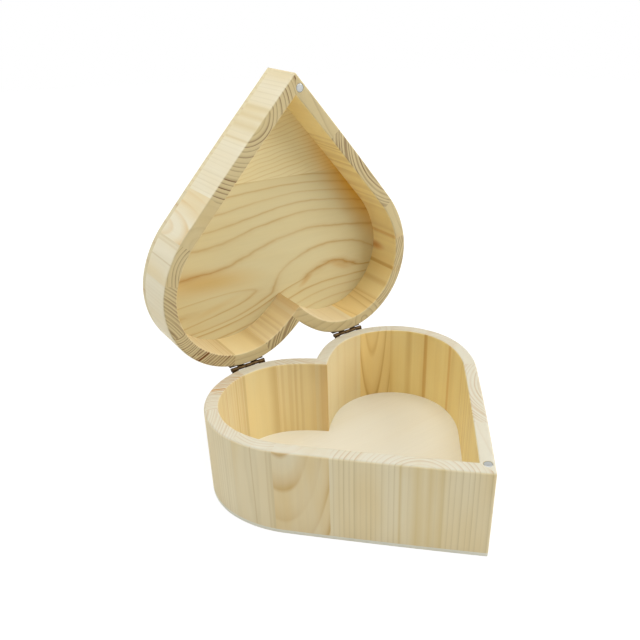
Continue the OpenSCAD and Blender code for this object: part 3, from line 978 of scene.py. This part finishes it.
# %% Metal finishes
def metal(name, base, second, roughness, patchy, marks):
    """A plated metal, mottled with a second colour, with so many marks to a metre."""
    paint = bpy.data.materials.new(name)
    tree = blank(paint)
    place = add(tree, "TexCoord")
    mottle = drift(tree, place.outputs["Object"], (marks,) * 3, detail=3.0)
    amount = add(tree, "Math", [mottle, patchy], "MULTIPLY", use_clamp=True)
    colour = add(tree, "Mix", {0: amount, 6: base, 7: second}, data_type="RGBA")
    rough = add(tree, "Math", [mottle, 0.2, roughness - 0.1], "MULTIPLY_ADD")
    shader = add(tree, "BsdfPrincipled", {"Base Color": colour,
                 "Roughness": rough, "Metallic": 1.0})
    add(tree, "OutputMaterial", {"Surface": shader})
    return paint


# The bronze's brassy second colour is partly painted highlight and partly rubbed wear.
bronze = metal("antique_bronze_plating", "#1E150E", "#8C6F48", 0.34, 0.5, 900.0)
nickel = metal("nickel_plating", "#9C9F9F", "#C2C4C0", 0.34, 1.0, 700.0)
print("finishes", bronze.name, nickel.name)

# %% [markdown]
# ## Hinges
# A small butt hinge is two strips of thin steel. Tabs on one long side of each strip are
# rolled round a common pin. A tab here is one end-on rectangle, spun most of the way round
# the pin and drawn down to meet the plate, so that the roll keeps the strip's thickness and
# shows its open seam, where tubes stuck on a plate would look cast. A hinge is drawn about
# its own axis, hanging down against the wood, and the lid's leaves are turned over.

# %% Sizes of a hinge
knuckle_count, knuckle_space = 5, 0.2
knuckle_length = (hinge_length + knuckle_space) / knuckle_count - knuckle_space
roll_turn, roll_steps, strip_edge, plate_edge = math.radians(305), 30, 0.07, 0.1
pin_radius, screw_spacing, screw_drop = 0.65, 14.0, 6.2
screw_radius, shank_radius, slot_width, slot_depth = 1.5, 0.8, 0.4, 0.45
plate_top = -barrel_radius - knuckle_gap
plate_y, plate_corner = plate_top + leaf_thickness / 2, 1.4
print("knuckles", round(knuckle_length, 2), "mm long")


# %% Edges and screw heads
def soften_edges(shape, size):
    """Rounds every edge that turns by more than 50 degrees."""
    edges = [e for e in shape.edges if e.calc_face_angle(0) > math.radians(50)]
    rounded(shape, edges, size, 2)


def screw_head(gap):
    """The countersunk outline of a screw's head, wider all round by gap."""
    return [(screw_radius + gap, 0.0), (shank_radius + gap, leaf_thickness)]


# %% Screw places
def at_screws(shape, turns=(0, 0)):
    """Copies a screw-like shape, drawn with its point up the Z axis, to a leaf's two holes."""
    both = bmesh.new()
    for x, turn in zip((-screw_spacing / 2, screw_spacing / 2), turns):
        one = shape.copy()
        place = (Matrix.Translation((x, plate_y + leaf_thickness / 2, -screw_drop))
                 @ Matrix.Rotation(math.pi / 2, 4, "X")
                 @ Matrix.Rotation(math.radians(turn), 4, "Z"))
        bmesh.ops.transform(one, matrix=place, verts=one.verts)
        join(both, one)
    shape.free()
    return both


# %% Knuckles
def knuckle(number, bore):
    """One rolled tab, from the plate's edge round the pin to its open seam."""
    shape = bmesh.new()
    bmesh.ops.create_grid(shape, x_segments=1, y_segments=1, size=0.5)
    stretch(shape, (knuckle_length, barrel_radius - bore, 1))
    start = number * (knuckle_length + knuckle_space) - hinge_length / 2
    move(shape, (start + knuckle_length / 2, -(barrel_radius + bore) / 2, 0))
    first = shape.faces[:]
    bmesh.ops.spin(shape, geom=shape.verts[:] + shape.edges[:] + first, cent=(0, 0, 0),
                   axis=(1, 0, 0), angle=-roll_turn, steps=roll_steps, use_merge=False,
                   use_duplicate=False)
    low = [f for f in shape.faces if all(abs(v.co.z) < 1e-4 and v.co.y < 0 for v in f.verts)]
    for down, back in ((0.5, 0.04), (0.5, 0.14), (0.4, 0.09), (0.6, 0.03)):
        edges = list(dict.fromkeys(e for f in low for e in f.edges))
        drawn = bmesh.ops.extrude_face_region(shape, geom=low + edges)
        low = [f for f in drawn["geom"] if isinstance(f, bmesh.types.BMFace)]
        verts = list(dict.fromkeys(v for f in low for v in f.verts))
        bmesh.ops.translate(shape, vec=(0, -back, -down), verts=verts)
    outward(shape)
    soften_edges(shape, strip_edge)
    return shape


# %% Leaves
def leaf(first_knuckle, bore):
    """A plate with rounded corners, two countersunk holes and its own knuckles."""
    shape = bmesh.new()
    bmesh.ops.create_cube(shape, size=1)
    stretch(shape, (hinge_length, leaf_thickness, leaf_reach + plate_top))
    move(shape, (0, plate_y, (plate_top - leaf_reach) / 2))
    corners = [e for e in shape.edges if all(v.co.z < plate_top - 1 for v in e.verts)
               and abs(e.verts[0].co.y - e.verts[1].co.y) > 0.1]
    rounded(shape, corners, plate_corner, 6)
    soften_edges(shape, plate_edge)
    hole = lathe([(0, -1), (1.6, -1)] + screw_head(0.1) + [(0.9, 2), (0, 2)], 32)
    shape = carved(shape, at_screws(hole))
    bmesh.ops.remove_doubles(shape, verts=shape.verts, dist=0.003)
    for number in range(first_knuckle, knuckle_count, 2):
        join(shape, knuckle(number, bore))
    return shape


# %% Screws
def screws(turns):
    """Slotted screws whose heads stand a little proud of the leaf."""
    one = lathe([(0, -0.24), (0.5, -0.22), (0.95, -0.15), (1.3, -0.05)] + screw_head(0)
                + [(shank_radius, 5.1), (0, 6.1)], 32)
    slot = bmesh.new()
    bmesh.ops.create_cube(slot, size=1)
    stretch(slot, (4, slot_width, 2 * slot_depth))
    return at_screws(carved(one, slot), turns)


# %% Pins
def pin():
    """A wire as long as the hinge, with domed ends."""
    half, dome = hinge_length / 2, 0.2
    end = [(0, dome), (0.3, dome * 0.85), (0.52, dome * 0.4), (pin_radius - 0.01, -0.05)]
    shape = lathe([(r, -half - h) for r, h in end] + [(r, half + h) for r, h in reversed(end)], 32)
    bmesh.ops.rotate(shape, matrix=Matrix.Rotation(math.pi / 2, 3, "Y"), verts=shape.verts)
    return shape


def hang(shape, side, body):
    """Puts hinge hardware at its hinge, and upside down where it belongs to the lid."""
    if body == "lid":
        stretch(shape, (1, 1, -1))
    move(shape, (side * hinge_x, hinge_axis.y, hinge_axis.z))
    outward(shape)
    return shape


# %% Two hinges
screw_turns = {("base", -1): (25, -40), ("base", 1): (70, 8), ("lid", -1): (-15, 55),
               ("lid", 1): (40, -65)}
for body, first_knuckle, bore in (("base", 0, pin_radius), ("lid", 1, pin_radius + 0.05)):
    fixings = bmesh.new()
    for side, word in ((-1, "left"), (1, "right")):
        node = f"{word}_hinge_{body}_leaf"
        piece(hang(leaf(first_knuckle, bore), side, body), f"{word}_{body}_hinge_leaf", body,
              node, finish=bronze)
        join(fixings, hang(screws(screw_turns[body, side]), side, body))
    node = f"{body}_hinge_screws"
    piece(fixings, f"{body}_slotted_screws", body, node, finish=bronze)
for side, word in ((-1, "left"), (1, "right")):
    piece(hang(pin(), side, "base"), f"{word}_hinge_pin_wire", "base", f"{word}_hinge_pin",
          finish=bronze)
print("two hinges with eight screws")

# %% [markdown]
# ## Magnets
# The magnets are nickel-plated discs, tumbled so that their edges are round, and pressed
# into drilled holes until they lie a hair below the rims. A disc could be a cylinder with
# a bevel, but turning its outline needs no second step and puts each point of the rounding
# where it belongs.

# %% Magnets
edge, top = 0.35, -0.06
for body in ("base", "lid"):
    disc = lathe([(0, -magnet_depth), (magnet_radius, -magnet_depth), (magnet_radius, top - edge),
                  (magnet_radius - edge * 0.13, top - edge * 0.5),
                  (magnet_radius - edge * 0.5, top - edge * 0.13), (magnet_radius - edge, top),
                  (magnet_radius - edge - 0.1, top), (0, top)])
    piece(at_magnet(disc, body == "base"), f"{body}_disc_magnet", body, f"{body}_magnet",
          finish=nickel)
print("two magnets")
